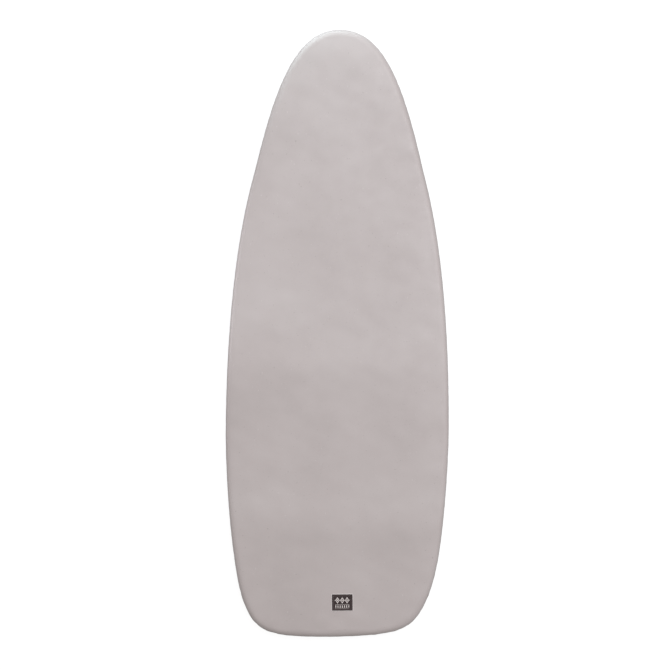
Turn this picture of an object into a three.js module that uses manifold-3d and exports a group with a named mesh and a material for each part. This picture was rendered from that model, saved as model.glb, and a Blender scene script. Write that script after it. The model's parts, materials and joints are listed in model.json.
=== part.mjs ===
// Ironing board cover, in the taut shape that it has on a board, lying on a flat surface.
// A metallised cotton face is stretched over a foam layer and a felt underlay. It rolls over the board's
// edge and turns in underneath, where a folded binding holds its cut edge and a draw cord. Both ends of
// the cord leave the binding at the tail, run side by side through a sprung cord lock and are knotted.
// Millimetres. +Z is up, the nose points along +Y, the origin is on the floor under the cover's middle.
import * as THREE from 'three';
import { mergeVertices } from 'three/addons/utils/BufferGeometryUtils.js';
import Module from 'manifold-3d';

const wasm = await Module();
wasm.setup();

// Driving dimensions of the cover
const coverLength = 1240;
const coverWidth = 456;
const boardSpace = 22;
const topRollRadius = 16;
const bottomRollRadius = 9;
const hemTurn = 55;

// Sheets and layers
const clothThickness = 0.8;
const foamThickness = 4;
const feltThickness = 3;
const tapeThickness = 0.7;
const layerGap = 0.3;
const padEdgeGap = 0.5;

// Draw cord, and the binding that carries it
const cordDiameter = 2.8;
const cordClearance = 0.3;
const bindingOverlap = 6;
const bindingFlat = 2.5;
const bindingSlope = 1.2;
const bindingMouth = 40;
const cordBend = 15;
const cordSides = 8;

// Cord lock: a barrel across the two strands, with a sprung plunger that ends in the button
const lockDepth = 12;
const lockWall = 1.4;
const lockCorner = 3.2;
const lockEdge = 0.8;
const lockFloorGap = 0.3;
const plungerWall = 1.1;
const plungerClearance = 0.3;
const buttonTravel = 2.5;
const buttonStop = 0.4;
const buttonHead = 2.6;
const springLength = 4.8;
const springWire = 0.5;
const springTurns = 3;
const lockStandOff = 4;
const lockSlide = 35;

// Knot that ties the two cord ends together, and the short ends behind it
const knotLength = 11;
const knotWidth = 11;
const knotTail = 9;

// Sewn label on the face, near the tail
const labelWidth = 42;
const labelLength = 33;
const labelThickness = 0.7;
const labelCorner = 1;
const labelOffCentre = 13;
const labelFromTail = 72;

// How finely curves are cut
const stationStep = 78;
const stationTurn = THREE.MathUtils.degToRad(7.2);
const topRollSteps = 4;
const bottomRollSteps = 3;
const bendSteps = 8;
const coilSteps = 10;
const wireSides = 6;

// Heights, from the floor up
const tunnelInner = cordDiameter / 2 + cordClearance;
const tunnelOuter = tunnelInner + tapeThickness;
const hemHeight = tunnelOuter;
const bindingTop = 2 * tunnelOuter;
const feltBottom = bindingTop + boardSpace;
const feltTop = feltBottom + feltThickness;
const foamBottom = feltTop + layerGap;
const foamTop = foamBottom + foamThickness;
const coverTop = foamTop + layerGap + clothThickness;
const hemBottom = hemHeight - clothThickness / 2;
const hemTop = hemHeight + clothThickness / 2;

// How far inside the outline the cord's centre runs: past the cloth's cut edge, in the binding's fold
const cordInset = hemTurn + layerGap + tunnelInner;

// The outline from the nose tip down one side to the tail, in shares of half the width and of the length.
// Four Bezier pieces: the nose, the long flank, the side below the widest place, and the tail corner.
const outlineShares = [
  [[0, 0], [0.379, 0], [0.566, 0.083], [0.75, 0.229]],
  [[0.75, 0.229], [0.786, 0.2572], [1, 0.379], [1, 0.663]],
  [[1, 0.663], [1, 0.713], [0.958, 0.881], [0.82, 0.942]],
  [[0.82, 0.942], [0.705, 0.993], [0.597, 1], [0, 1]],
];

function outlinePiece(shares) {
  const points = shares.map(
    ([across, along]) => new THREE.Vector2((across * coverWidth) / 2, (0.5 - along) * coverLength),
  );
  return new THREE.CubicBezierCurve(...points);
}

const mirrored = ({ point, inward }) => ({
  point: new THREE.Vector2(-point.x, point.y),
  inward: new THREE.Vector2(-inward.x, inward.y),
});

const placed = ({ point, inward }, inset, height) =>
  new THREE.Vector3(point.x + inward.x * inset, point.y + inward.y * inset, height);

// Stations down the right side, close together where the outline turns sharply. Each has its point on
// the outline and the direction that points into the cover. One falls where the binding ends.
function rightStations() {
  const fine = 400;
  const samples = outlineShares.map(outlinePiece).flatMap((piece, k) =>
    Array.from({ length: k < outlineShares.length - 1 ? fine : fine + 1 }, (_, i) => {
      const tangent = piece.getTangent(i / fine);
      return { point: piece.getPoint(i / fine), inward: new THREE.Vector2(tangent.y, -tangent.x) };
    }),
  );
  samples[0].inward.set(0, -1);
  samples.at(-1).inward.set(0, 1);

  const effort = [0];
  for (let i = 1; i < samples.length; i++) {
    const step = samples[i].point.distanceTo(samples[i - 1].point) / stationStep;
    const turn = samples[i].inward.angleTo(samples[i - 1].inward) / stationTurn;
    effort.push(effort[i - 1] + step + turn);
  }
  const spread = (from, to) => {
    const count = Math.max(1, Math.round(effort[to] - effort[from]));
    return Array.from({ length: count + 1 }, (_, i) => {
      const target = effort[from] + ((effort[to] - effort[from]) * i) / count;
      const at = effort.findIndex((value) => value >= target);
      return samples[i === count ? to : at];
    });
  };
  const mouthAt = samples.findLastIndex((s) => placed(s, cordInset, 0).x >= bindingMouth / 2);
  return { bound: spread(0, mouthAt), mouth: spread(mouthAt, samples.length - 1).slice(1) };
}

const { bound, mouth } = rightStations();
const rightSide = [...bound, ...mouth];
// Once round the cover, counter-clockwise from above: up the right side from the tail, down the left
const around = [...rightSide.slice(1).reverse(), ...rightSide.slice(0, -1).map(mirrored)];
// The stretch that the binding covers, from its right-hand end at the tail, round the nose, to the left
const boundStretch = [...bound.slice(1).reverse(), ...bound.map(mirrored)];

// A solid without a hole through it, from rings of equal count. Strips across close its two end rings.
function solidOfRings(rings) {
  const count = rings[0].length;
  const faces = [];
  for (let k = 0; k + 1 < rings.length; k++) {
    for (let i = 0; i < count; i++) {
      const j = (i + 1) % count;
      const [a, b, c, d] = [k * count + i, k * count + j, (k + 1) * count + j, (k + 1) * count + i];
      faces.push(a, c, b, a, d, c);
    }
  }
  const closeAcross = (offset, flip) => {
    const face = (a, b, c) => faces.push(offset + a, offset + (flip ? c : b), offset + (flip ? b : c));
    let [low, high] = [0, count - 1];
    while (high - low > 1) {
      face(low, low + 1, high);
      low += 1;
      if (high - low > 1) {
        face(low, high - 1, high);
        high -= 1;
      }
    }
  };
  closeAcross(0, false);
  closeAcross((rings.length - 1) * count, true);
  return new THREE.BufferGeometry().setFromPoints(rings.flat()).setIndex(faces);
}

// A solid swept through closed sections of equal count. Its ends are filled as the flat outline is.
function solidOfSections(sections, outline) {
  const count = outline.length;
  const last = (sections.length - 1) * count;
  const faces = [];
  for (let k = 0; k + 1 < sections.length; k++) {
    for (let i = 0; i < count; i++) {
      const j = (i + 1) % count;
      const [a, b, c, d] = [k * count + i, k * count + j, (k + 1) * count + j, (k + 1) * count + i];
      faces.push(a, b, c, a, c, d);
    }
  }
  THREE.ShapeUtils.triangulateShape(outline, []).forEach(([a, b, c]) =>
    faces.push(a, c, b, last + a, last + b, last + c),
  );
  return new THREE.BufferGeometry().setFromPoints(sections.flat()).setIndex(faces);
}

// A round tube through centre points with their directions. up is any direction square to neither
function tube(places, diameter, sides) {
  const turn = (2 * Math.PI) / sides;
  const outline = Array.from({ length: sides }, (_, i) =>
    new THREE.Vector2(Math.cos((i + 0.5) * turn), Math.sin((i + 0.5) * turn)).multiplyScalar(diameter / 2),
  );
  const sections = places.map(({ centre, along, up = new THREE.Vector3(0, 0, 1) }) => {
    const left = up.clone().cross(along).normalize();
    const over = along.clone().cross(left).normalize();
    return outline.map(({ x, y }) => centre.clone().addScaledVector(left, x).addScaledVector(over, y));
  });
  return solidOfSections(sections, outline);
}

function toSolid(geometry) {
  const loose = geometry.index ? geometry.toNonIndexed() : geometry;
  const bare = new THREE.BufferGeometry().setAttribute('position', loose.getAttribute('position'));
  const merged = mergeVertices(bare);
  return new wasm.Manifold(
    new wasm.Mesh({
      numProp: 3,
      vertProperties: merged.attributes.position.array,
      triVerts: new Uint32Array(merged.index.array),
    }),
  );
}

function toGeometry(solid) {
  const mesh = solid.getMesh();
  return new THREE.BufferGeometry()
    .setAttribute('position', new THREE.BufferAttribute(mesh.vertProperties, 3))
    .setIndex(new THREE.BufferAttribute(mesh.triVerts, 1));
}

const looks = {
  faceCloth: { color: 0xbeb7b5, roughness: 0.62, metalness: 0.15 },
  foam: { color: 0xe9e2cf, roughness: 0.95, metalness: 0 },
  felt: { color: 0xd9d6d0, roughness: 1, metalness: 0 },
  bindingTape: { color: 0x8f8987, roughness: 0.85, metalness: 0 },
  cord: { color: 0xf0efec, roughness: 0.8, metalness: 0 },
  lockPlastic: { color: 0x2c2a2a, roughness: 0.45, metalness: 0 },
  buttonPlastic: { color: 0x3a3838, roughness: 0.4, metalness: 0 },
  springSteel: { color: 0xb9bcc0, roughness: 0.3, metalness: 1 },
  label: { color: 0x3b3231, roughness: 0.8, metalness: 0 },
};

function piece(name, geometry, look) {
  const loose = geometry.index ? geometry.toNonIndexed() : geometry;
  loose.computeVertexNormals();
  const mesh = new THREE.Mesh(loose, new THREE.MeshStandardMaterial(look));
  mesh.name = name;
  return mesh;
}

// Face cloth: one sheet round the board's space. Its section runs, as [inset, height] pairs, from the flat
// top over the edge to the cut edge of the turned-in hem; depth is how far it lies inside the outer skin.
function clothSection(depth) {
  const arc = (radius, [inset, height], from, steps) =>
    Array.from({ length: steps + 1 }, (_, i) => {
      const angle = from + ((Math.PI / 2) * i) / steps;
      return [inset - (radius - depth) * Math.sin(angle), height + (radius - depth) * Math.cos(angle)];
    });
  return [
    ...arc(topRollRadius, [topRollRadius, coverTop - topRollRadius], 0, topRollSteps),
    ...arc(bottomRollRadius, [bottomRollRadius, hemBottom + bottomRollRadius], Math.PI / 2, bottomRollSteps),
    [hemTurn, hemBottom + depth],
  ];
}

const faceCloth = () =>
  solidOfRings(
    [...clothSection(0), ...clothSection(clothThickness).reverse()].map(([inset, height]) =>
      around.map((s) => placed(s, inset, height)),
    ),
  );

// Foam layer and felt underlay: flat sheets whose edges follow the roll of the cloth
function wallInset(height) {
  const skin = clothSection(clothThickness);
  const below = skin.findIndex((pair) => pair[1] <= height);
  const [[insetA, heightA], [insetB, heightB]] = [skin[below - 1], skin[below]];
  return insetA + ((insetB - insetA) * (heightA - height)) / (heightA - heightB);
}

const padLayer = (bottom, top, steps) =>
  solidOfRings(
    Array.from({ length: steps + 1 }, (_, i) => {
      const height = top + ((bottom - top) * i) / steps;
      return around.map((s) => placed(s, wallInset(height) + padEdgeGap, height));
    }),
  );

// Hem binding: a tape folded over the cloth's cut edge, flat above and below the cord that its fold holds
function bindingSection() {
  const tapeEdge = hemTurn - bindingOverlap;
  const flatStart = cordInset - bindingFlat;
  const fold = (radius, steps) =>
    Array.from({ length: steps + 1 }, (_, i) => {
      const angle = -Math.PI / 2 + (Math.PI * i) / steps;
      return [cordInset + radius * Math.cos(angle), hemHeight + radius * Math.sin(angle)];
    });
  const plyInner = clothThickness / 2 + layerGap;
  const plyOuter = plyInner + tapeThickness;
  const outer = [
    [tapeEdge, hemHeight - plyOuter],
    [flatStart - bindingSlope, hemHeight - plyOuter],
    [flatStart, hemHeight - tunnelOuter],
    ...fold(tunnelOuter, 6),
    [flatStart, hemHeight + tunnelOuter],
    [flatStart - bindingSlope, hemHeight + plyOuter],
    [tapeEdge, hemHeight + plyOuter],
  ];
  const inner = [
    [tapeEdge, hemHeight + plyInner],
    [flatStart - bindingSlope, hemHeight + plyInner],
    [flatStart, hemHeight + tunnelInner],
    ...fold(tunnelInner, 5).reverse(),
    [flatStart, hemHeight - tunnelInner],
    [flatStart - bindingSlope, hemHeight - plyInner],
    [tapeEdge, hemHeight - plyInner],
  ];
  return [...outer, ...inner];
}

function hemBinding() {
  const section = bindingSection();
  return solidOfSections(
    boundStretch.map((s) => section.map(([inset, height]) => placed(s, inset, height))),
    section.map(([inset, height]) => new THREE.Vector2(inset, height)),
  );
}

// Cord lock: sizes across the strands (X) and up (Z), worked out from the pair of cords and the walls
const strandOffset = (cordDiameter + cordClearance) / 2;
const strandHalf = strandOffset + cordDiameter / 2 + cordClearance;
const slotWidth = 2 * strandHalf + buttonTravel;
const slotHeight = cordDiameter + 2 * cordClearance;
const plungerHeight = slotHeight + 2 * plungerWall;
const boreHeight = plungerHeight + 2 * plungerClearance;
const lockHeight = boreHeight + 2 * lockWall;
const boreDepth = lockDepth - 2 * lockWall;
const boreCorner = lockCorner - lockWall;
const lockCentre = lockFloorGap + lockHeight / 2;
const plungerEnd = -strandHalf - buttonTravel - plungerWall;
const boreEnd = plungerEnd - springLength;
const lockEnd = boreEnd - lockWall;
const lockMouth = strandHalf + buttonTravel + lockWall;
const headStart = lockMouth + buttonTravel + buttonStop;

// Places along the cover: where the strands turn towards the nose, the lock at rest, and the knot
const strandStart = placed(bound.at(-1), cordInset, 0).y + cordBend;
const lockPlace = strandStart + lockStandOff + lockDepth / 2;
const knotStart = lockPlace + lockDepth / 2 + lockSlide + cordClearance;
const knotHeight = lockHeight;

// A bar along X with rounded long edges, its section centred on the strands' height
function barAcross(from, to, depth, height, corner, edge) {
  const [y, z] = [depth / 2 - edge, height / 2 - edge];
  const round = corner - edge;
  const shape = new THREE.Shape();
  shape.absarc(y - round, z - round, round, 0, Math.PI / 2);
  shape.absarc(-y + round, z - round, round, Math.PI / 2, Math.PI);
  shape.absarc(-y + round, -z + round, round, Math.PI, 1.5 * Math.PI);
  shape.absarc(y - round, -z + round, round, 1.5 * Math.PI, 2 * Math.PI);
  const bar = new THREE.ExtrudeGeometry(shape, {
    depth: to - from - 2 * edge,
    curveSegments: 4,
    bevelEnabled: edge > 0,
    bevelThickness: edge,
    bevelSize: edge,
    bevelSegments: 2,
  });
  bar.translate(0, 0, from + edge);
  bar.applyMatrix4(new THREE.Matrix4().set(0, 0, 1, 0, 1, 0, 0, 0, 0, 1, 0, 0, 0, 0, 0, 1));
  return bar.translate(0, lockPlace, lockCentre);
}

// The passage for both strands, through a bar from front to back
function strandSlot(from, to) {
  const slot = new THREE.BoxGeometry(to - from, 2 * lockDepth, slotHeight);
  return toSolid(slot.translate((from + to) / 2, lockPlace, lockCentre));
}

function cordLockBody() {
  const barrel = toSolid(barAcross(lockEnd, lockMouth, lockDepth, lockHeight, lockCorner, lockEdge));
  const bore = toSolid(barAcross(boreEnd, lockMouth + lockWall, boreDepth, boreHeight, boreCorner, 0));
  const slot = strandSlot(strandHalf - slotWidth, strandHalf);
  return toGeometry(barrel.subtract(bore).subtract(slot));
}

function cordLockButton() {
  const shankDepth = boreDepth - 2 * plungerClearance;
  const shankCorner = boreCorner - plungerClearance;
  const shank = barAcross(plungerEnd, headStart + lockEdge, shankDepth, plungerHeight, shankCorner, 0);
  const head = barAcross(
    headStart, headStart + buttonHead, lockDepth - lockEdge, lockHeight - lockEdge, lockCorner, lockEdge,
  );
  const slot = strandSlot(-strandHalf, slotWidth - strandHalf);
  return toGeometry(toSolid(shank).add(toSolid(head)).subtract(slot));
}

// The lock's spring: an open coil between the bore's end and the plunger, on the barrel's axis
function cordLockSpring() {
  const coilRadius = plungerHeight / 2 - springWire;
  const from = boreEnd + cordClearance + springWire / 2;
  const pitch = (springLength - 2 * cordClearance - springWire) / springTurns;
  const places = Array.from({ length: springTurns * coilSteps + 1 }, (_, i) => {
    const angle = (2 * Math.PI * i) / coilSteps;
    const up = new THREE.Vector3(0, Math.cos(angle), Math.sin(angle));
    const along = new THREE.Vector3(0, -Math.sin(angle), Math.cos(angle));
    const centre = up.clone().multiplyScalar(coilRadius);
    centre.add(new THREE.Vector3(from + (pitch * i) / coilSteps, lockPlace, lockCentre));
    return { centre, along, up };
  });
  return tube(places, springWire, wireSides);
}

// Draw cord: the strands, the bends into the binding and the long way round in the binding's fold
function drawCord() {
  const ring = boundStretch.map((s) => ({
    centre: placed(s, cordInset, hemHeight),
    along: new THREE.Vector3(s.inward.y, -s.inward.x, 0),
  }));
  const leaving = ring.at(-1);
  const strand = new THREE.Vector3(-strandOffset, strandStart, lockCentre);
  const bend = new THREE.CubicBezierCurve3(
    leaving.centre,
    leaving.centre.clone().addScaledVector(leaving.along, cordBend),
    strand.clone().setY(strandStart - cordBend / 2),
    strand,
  );
  const leftEnd = Array.from({ length: bendSteps }, (_, i) => {
    const share = (i + 1) / bendSteps;
    return { centre: bend.getPoint(share), along: bend.getTangent(share) };
  });
  const knotFace = knotStart - cordClearance;
  leftEnd.push({ centre: strand.clone().setY(knotFace), along: new THREE.Vector3(0, 1, 0) });
  const rightEnd = leftEnd.toReversed().map(({ centre, along }) => ({
    centre: new THREE.Vector3(-centre.x, centre.y, centre.z),
    along: new THREE.Vector3(along.x, -along.y, -along.z),
  }));
  return tube([...rightEnd, ...ring, ...leftEnd], cordDiameter, cordSides);
}

function cordKnot() {
  const knot = new THREE.SphereGeometry(0.5, 12, 8).scale(knotWidth, knotLength, knotHeight);
  const middle = knotStart + knotLength / 2;
  const ends = [-strandOffset, strandOffset].map((x) =>
    toSolid(
      tube(
        [middle, knotStart + knotLength + knotTail].map((y) => ({
          centre: new THREE.Vector3(x, y, lockCentre),
          along: new THREE.Vector3(0, 1, 0),
        })),
        cordDiameter,
        cordSides,
      ),
    ),
  );
  return toGeometry(toSolid(knot.translate(0, middle, lockCentre)).add(ends[0]).add(ends[1]));
}

// Sewn label: a small woven patch that lies on the face
function sewnLabel() {
  const [x, y] = [labelWidth / 2 - labelCorner, labelLength / 2 - labelCorner];
  const shape = new THREE.Shape();
  shape.absarc(x, y, labelCorner, 0, Math.PI / 2);
  shape.absarc(-x, y, labelCorner, Math.PI / 2, Math.PI);
  shape.absarc(-x, -y, labelCorner, Math.PI, 1.5 * Math.PI);
  shape.absarc(x, -y, labelCorner, 1.5 * Math.PI, 2 * Math.PI);
  const patch = new THREE.ExtrudeGeometry(shape, {
    depth: labelThickness,
    curveSegments: 3,
    bevelEnabled: false,
  });
  return patch.translate(labelOffCentre, labelFromTail - coverLength / 2, coverTop);
}

const cover = new THREE.Group();
cover.add(
  piece('face_cloth', faceCloth(), looks.faceCloth),
  piece('foam_layer', padLayer(foamBottom, foamTop, 3), looks.foam),
  piece('felt_underlay', padLayer(feltBottom, feltTop, 1), looks.felt),
  piece('hem_binding', hemBinding(), looks.bindingTape),
  piece('draw_cord', drawCord(), looks.cord),
  piece('cord_knot', cordKnot(), looks.cord),
  piece('cord_lock_body', cordLockBody(), looks.lockPlastic),
  piece('cord_lock_button', cordLockButton(), looks.buttonPlastic),
  piece('cord_lock_spring', cordLockSpring(), looks.springSteel),
  piece('sewn_label', sewnLabel(), looks.label),
);

export default cover;
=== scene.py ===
# Ironing board cover in its taut shape, lying on a pale floor and seen from straight above.
# Metres. The nose points along +Y. The outline and the section repeat the named sizes of the part's source.
import json
import math

import bmesh
import bpy
import numpy as np
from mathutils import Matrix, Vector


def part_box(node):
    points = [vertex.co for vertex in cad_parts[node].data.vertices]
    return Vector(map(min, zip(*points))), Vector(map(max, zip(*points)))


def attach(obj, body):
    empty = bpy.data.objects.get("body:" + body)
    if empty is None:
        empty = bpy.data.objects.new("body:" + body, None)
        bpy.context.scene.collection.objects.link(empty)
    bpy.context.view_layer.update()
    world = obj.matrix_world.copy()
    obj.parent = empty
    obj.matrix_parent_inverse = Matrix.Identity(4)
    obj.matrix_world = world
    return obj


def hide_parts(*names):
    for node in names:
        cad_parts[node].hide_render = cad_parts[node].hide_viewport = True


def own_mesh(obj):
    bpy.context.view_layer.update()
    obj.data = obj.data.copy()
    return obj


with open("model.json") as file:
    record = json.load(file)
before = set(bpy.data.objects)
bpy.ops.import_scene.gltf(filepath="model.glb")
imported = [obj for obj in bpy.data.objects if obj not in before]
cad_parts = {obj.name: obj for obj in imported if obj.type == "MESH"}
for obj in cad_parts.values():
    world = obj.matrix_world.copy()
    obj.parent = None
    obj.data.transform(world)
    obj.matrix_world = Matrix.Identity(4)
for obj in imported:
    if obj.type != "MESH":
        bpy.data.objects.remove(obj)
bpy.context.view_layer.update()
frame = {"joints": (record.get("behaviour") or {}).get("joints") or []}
print("frame loaded")

# Camera, straight above. Pixels are those of a 670 by 670 picture.
view = dict(
    lens=100,
    sensor=36,
    picturePixels=670,
    pixelSize=0.0020465,
    coverAtPixel=(337.95, 333.2),
    roll=0.00764,
    rimHeight=0.015,
)


def makeCamera():
    distance = view["picturePixels"] * view["pixelSize"] * view["lens"] / view["sensor"]
    middle = view["picturePixels"] / 2
    across = (middle - view["coverAtPixel"][0]) * view["pixelSize"]
    up = (view["coverAtPixel"][1] - middle) * view["pixelSize"]
    c, s = math.cos(view["roll"]), math.sin(view["roll"])
    camera = bpy.data.objects.new("camera", bpy.data.cameras.new("camera"))
    camera.data.lens = view["lens"]
    camera.data.sensor_width = view["sensor"]
    camera.location = (c * across - s * up, s * across + c * up, view["rimHeight"] + distance)
    camera.rotation_euler = (0, 0, view["roll"])
    bpy.context.collection.objects.link(camera)
    bpy.context.scene.camera = camera


makeCamera()

# Sizes of the cover, from the frame and the part's source
coverLow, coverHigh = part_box("face_cloth")
cover = dict(
    length=coverHigh.y - coverLow.y,
    width=coverHigh.x - coverLow.x,
    top=coverHigh.z,
    hemBottom=coverLow.z,
    topRoll=0.016,
    bottomRoll=0.009,
    hemTurn=0.055,
    cloth=0.0008,
)
# Half of the outline, nose to tail, in shares of half the width and of the length
outlineShares = (
    ((0, 0), (0.379, 0), (0.566, 0.083), (0.75, 0.229)),
    ((0.75, 0.229), (0.786, 0.2572), (1, 0.379), (1, 0.663)),
    ((1, 0.663), (1, 0.713), (0.958, 0.881), (0.82, 0.942)),
    ((0.82, 0.942), (0.705, 0.993), (0.597, 1), (0, 1)),
)
# A real cover sits a touch askew on its board: its tail leans to the left and lies at a slant
sway = dict(tail=-0.0022, starts=-0.44, full=-0.6, slant=0.016, rightSlant=0.018)
# How the turned-in cloth is gathered: pitch of the folds along the cord, and how they lie
gather = dict(
    overhang=0.0774,
    flankPitch=0.017,
    nosePitch=0.0088,
    stationsPerFold=8,
    drawnAt=0.057,
    bunches=1.05,
    bunchedOver=1.5,
    mostRatio=2.5,
    leastTurn=0.2,
    leastRadius=0.006,
    leastShrink=0.2,
    ease=0.0009,
    leastLift=0.0008,
    liftWindow=25,
    lean=0.5,
    starts=0.010,
    full=0.040,
    held=(0.048, 0.008),
    heldShare=0.9,
    rimShare=0.4,
    rimFades=0.020,
)
# What varies round the hem: amount, least and most cycles, and seed
varies = dict(
    swing=(0.22, (20, 90), 3),
    phase=(0.75, (20, 70), 5),
    start=(0.005, (40, 160), 7),
    pucker=(0.00016, (60, 200), 11),
    pad=(0.0002, (200, 500), 31),
)
# A few faint creases where the cloth is drawn over the rim, and puckers that grow with the folds
creases = dict(
    count=30,
    width=(0.0025, 0.006),
    depth=(0.00005, 0.0002),
    seed=13,
    puckerSwing=0.0016,
    mostPucker=1.6,
)
padding = dict(
    # soft unevenness: height, what x counts for, wavelength and seed
    waves=((0.00016, 1, 0.11, 21), (0.00011, 1, 0.045, 22), (0.00005, 0.3, 0.04, 23)),
    # low ridges across, left from lying folded in four: place along the cover and height
    ridges=((0.235, 0.0006), (-0.075, 0.0020), (-0.398, 0.0020)),
    ridgeReach=0.03,
    ridgeFull=0.12,
    ridgeFades=0.09,
    # drawn thinner towards the rim: how much, where that changes along the cover, and over what length
    thinned=0.0011,
    nose=(0.0018, 0.44, 0.14),
    tail=(-0.0007, -0.46, -0.10),
    thinnedReach=0.045,
    thinnedPower=0.6,
)
# The cloth bends over the board's edge rather squarely, and more roundly at the nose
bend = dict(square=2.7, rounder=-0.7, starts=0.30, over=0.20)
# The flat rings of the face and the pads close in on a line along the middle, in shares of the length
spine = dict(tail=-0.45, nose=0.4, reach=0.94)


def smoothStep(value, start=0, over=1):
    value = np.clip((value - start) / over, 0, 1)
    return value * value * (3 - 2 * value)


def smoothedLoop(values, window):
    # a running mean round the closed outline, heaviest in its middle
    weights = np.hanning(window)
    wide = np.concatenate([values[-window:], values, values[:window]])
    return np.convolve(wide, weights / weights.sum(), "same")[window:-window]


def loopNoise(places, cycles, seed, parts=9):
    # smooth noise round the closed outline, places from 0 to 1
    random = np.random.default_rng(seed)
    total = np.zeros_like(places)
    for _ in range(parts):
        total += np.sin(2 * math.pi * (random.integers(*cycles) * places + random.random()))
    return total / math.sqrt(parts / 2)


def varied(kind, places):
    amount, cycles, seed = varies[kind]
    return amount * loopNoise(places, cycles, seed)


def softNoise(x, y, wavelength, seed, parts=12):
    # smooth noise over the plan, about 1 high
    random = np.random.default_rng(seed)
    total = np.zeros_like(x)
    for _ in range(parts):
        heading = 2 * math.pi * random.random()
        scale = 2 * math.pi / (wavelength * random.uniform(0.7, 1.5))
        along = scale * (x * math.cos(heading) + y * math.sin(heading))
        total += np.sin(along + 2 * math.pi * random.random())
    return total / math.sqrt(parts / 2)


def lengthAlong(points):
    return np.concatenate([[0], np.cumsum(np.linalg.norm(np.diff(points, axis=0), axis=1))])


def bezier(t, a, b, c, d):
    return (1 - t) ** 3 * a + 3 * (1 - t) ** 2 * t * b + 3 * (1 - t) * t * t * c + t**3 * d


def traceOutline(samples=3000, perPiece=600, window=31):
    # evenly spaced points once round, counter-clockwise from the middle of the tail, with the way inwards
    t = np.linspace(0, 1, perPiece, endpoint=False)[:, None]
    scale = np.array([cover["width"] / 2, cover["length"]])
    pieces = [bezier(t, *((np.array([x, 0.5 - y]) * scale) for x, y in shares)) for shares in outlineShares]
    right = np.concatenate([*pieces, [[0, -cover["length"] / 2]]])[::-1]
    loop = np.concatenate([right, right[-2::-1] * (-1, 1)])
    along = lengthAlong(loop)
    even = np.linspace(0, along[-1], samples, endpoint=False)
    points = np.stack([np.interp(even, along, column) for column in loop.T], 1)
    ahead = np.roll(points, -2, 0) - np.roll(points, 2, 0)
    ahead /= np.linalg.norm(ahead, axis=1)[:, None]
    before, after = np.roll(ahead, 2, 0), np.roll(ahead, -2, 0)
    turn = np.arctan2(np.cross(before, after), np.sum(before * after, 1)) / (4 * along[-1] / samples)
    return points, np.stack([-ahead[:, 1], ahead[:, 0]], 1), smoothedLoop(turn, window), along[-1]


outlinePoints, outlineInward, outlineTurn, outlineLength = traceOutline()


def makeStations():
    # stations follow the folds, so they stand close together where the cloth is bunched
    radius = 1 / np.maximum(outlineTurn, gather["leastTurn"])
    ratio = (radius + gather["overhang"]) / np.maximum(radius - gather["drawnAt"], gather["leastRadius"])
    bunched = np.sqrt(np.clip((ratio - gather["bunches"]) / gather["bunchedOver"], 0, 1))
    pitch = gather["flankPitch"] + (gather["nosePitch"] - gather["flankPitch"]) * bunched
    shrink = np.maximum(1 - gather["drawnAt"] / radius, gather["leastShrink"])
    folds = np.concatenate([[0], np.cumsum(shrink / pitch) * outlineLength / len(radius)])
    stations = 2 * round(folds[-1] / 2) * gather["stationsPerFold"]
    at = np.interp(np.arange(stations) * folds[-1] / stations, folds, np.arange(len(folds)))

    def pick(values):
        closed = np.concatenate([values, values[:1]])
        if closed.ndim == 1:
            return np.interp(at, np.arange(len(closed)), closed)
        return np.stack([np.interp(at, np.arange(len(closed)), column) for column in closed.T], 1)

    place = at / len(radius)
    inward = pick(outlineInward)
    inward /= np.linalg.norm(inward, axis=1)[:, None]
    spare = np.minimum(pick(ratio), gather["mostRatio"]) - 1
    swing = pick(pitch) / math.pi * np.sqrt(spare) * (1 + varied("swing", place))
    lift = np.maximum(swing - gather["ease"], gather["leastLift"])
    return dict(
        point=pick(outlinePoints),
        inward=inward,
        place=place,
        swing=swing,
        phase=2 * math.pi * np.arange(stations) / gather["stationsPerFold"] + varied("phase", place),
        lift=smoothedLoop(lift, gather["liftWindow"]),
        start=gather["starts"] + varied("start", place),
    )


station = makeStations()
stationCount = len(station["place"])
foldWave = np.cos(station["phase"] + gather["lean"] * np.sin(station["phase"] / 2))
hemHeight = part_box("hem_binding")[1].z / 2
print("outline traced:", stationCount, "stations")


def ringAt(inset, height, every=1):
    ring = np.empty((stationCount, 3))
    ring[:, :2] = station["point"] + station["inward"] * np.reshape(inset, (-1, 1))
    ring[:, 2] = height
    return ring[::every]


def rimDent(share):
    # the folds run on over the lower roll as shallow dents
    return gather["rimShare"] * share * station["swing"] * (1 + foldWave) / 2


def foldHeight(inset):
    # how far the gathered cloth stands off its flat return, by station
    rise = smoothStep(inset, station["start"], gather["full"] - station["start"])
    held = 1 - gather["heldShare"] * smoothStep(inset, *gather["held"])
    raised = smoothStep(inset, gather["starts"], gather["full"] - gather["starts"])
    atRim = 1 - smoothStep(inset, cover["bottomRoll"], gather["rimFades"])
    return raised * station["lift"] + rise * held * station["swing"] * foldWave + rimDent(atRim)


def swayed(vertices):
    share = smoothStep(vertices[:, 1], sway["starts"], sway["full"] - sway["starts"])
    slant = sway["slant"] * vertices[:, 0] + sway["rightSlant"] * np.maximum(vertices[:, 0], 0)
    moved = vertices.copy()
    moved[:, 0] += sway["tail"] * share
    moved[:, 1] += slant * share
    return moved


def dents(x, y):
    # the padding's unevenness, which the face, the foam and the label share
    uneven = sum(high * softNoise(x * squeeze, y, *wave) for high, squeeze, *wave in padding["waves"])
    share = 1 - smoothStep(np.abs(x), padding["ridgeFull"], padding["ridgeFades"])
    ridges = sum(high / np.cosh((y - at) / padding["ridgeReach"]) for at, high in padding["ridges"])
    return uneven + share * ridges


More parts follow.
